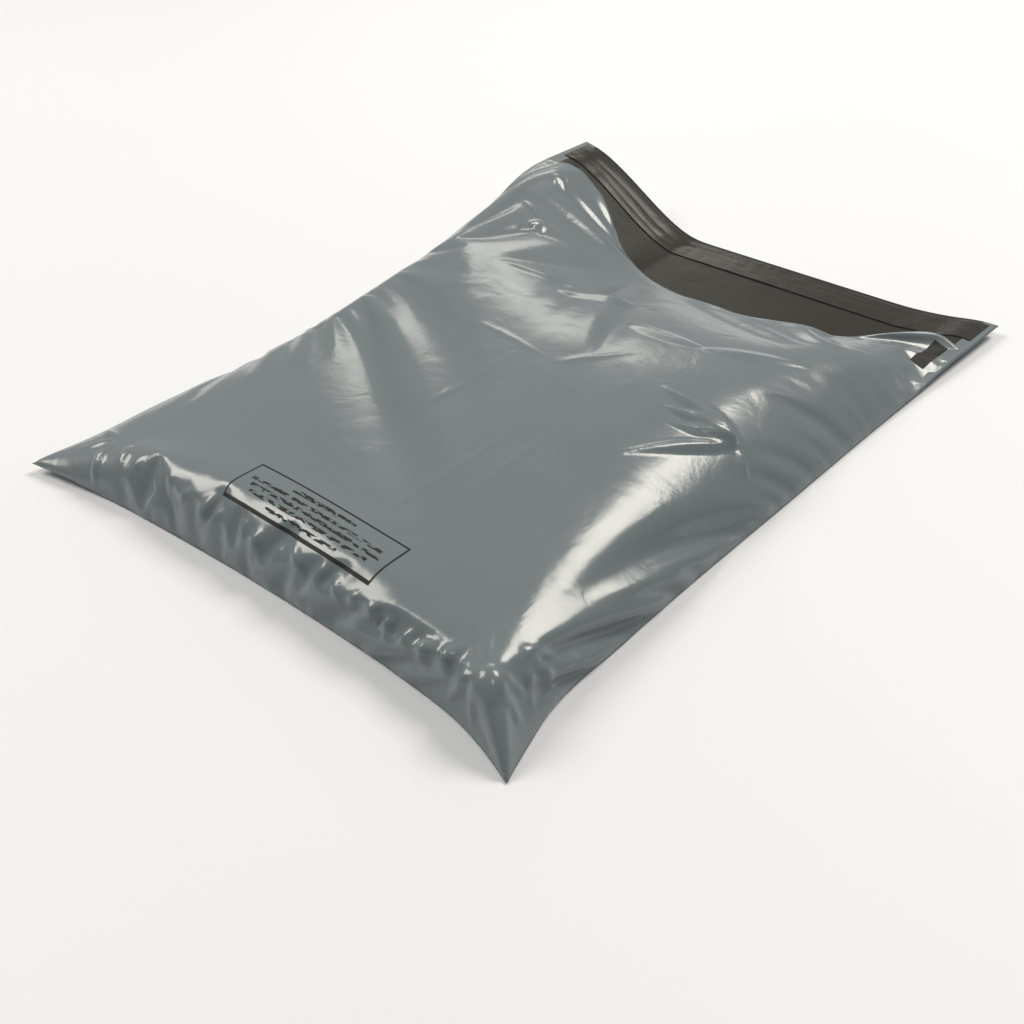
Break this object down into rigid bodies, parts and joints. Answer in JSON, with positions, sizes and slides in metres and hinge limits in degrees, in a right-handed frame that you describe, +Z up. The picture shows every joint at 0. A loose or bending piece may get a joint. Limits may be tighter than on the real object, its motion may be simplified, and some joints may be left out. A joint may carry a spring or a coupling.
{
  "type": "poly mailer bag",
  "caption": "Opaque film shipping bag, folded at the bottom and welded up both sides, with an open mouth and a peel-and-seal lip; lying on its back with air in it.",
  "frame": {"origin": "on the surface the bag lies on, under the middle of its outline", "axes": "+X across the bag from side weld to side weld, +Y along it from the bottom fold out of the mouth, +Z up off the surface"},
  "size_m": [0.3, 0.435, 0.0524],
  "materials": {
    "film": "satin grey film outside, near-black inside",
    "adhesive": "translucent hot-melt, seen against the dark film",
    "liner": "clear glossy release film over the dark film, crinkled"
  },
  "bodies": {
    "root": {"bag_film": "film", "closure_adhesive": "adhesive", "release_liner": "liner"}
  },
  "joints": []
}
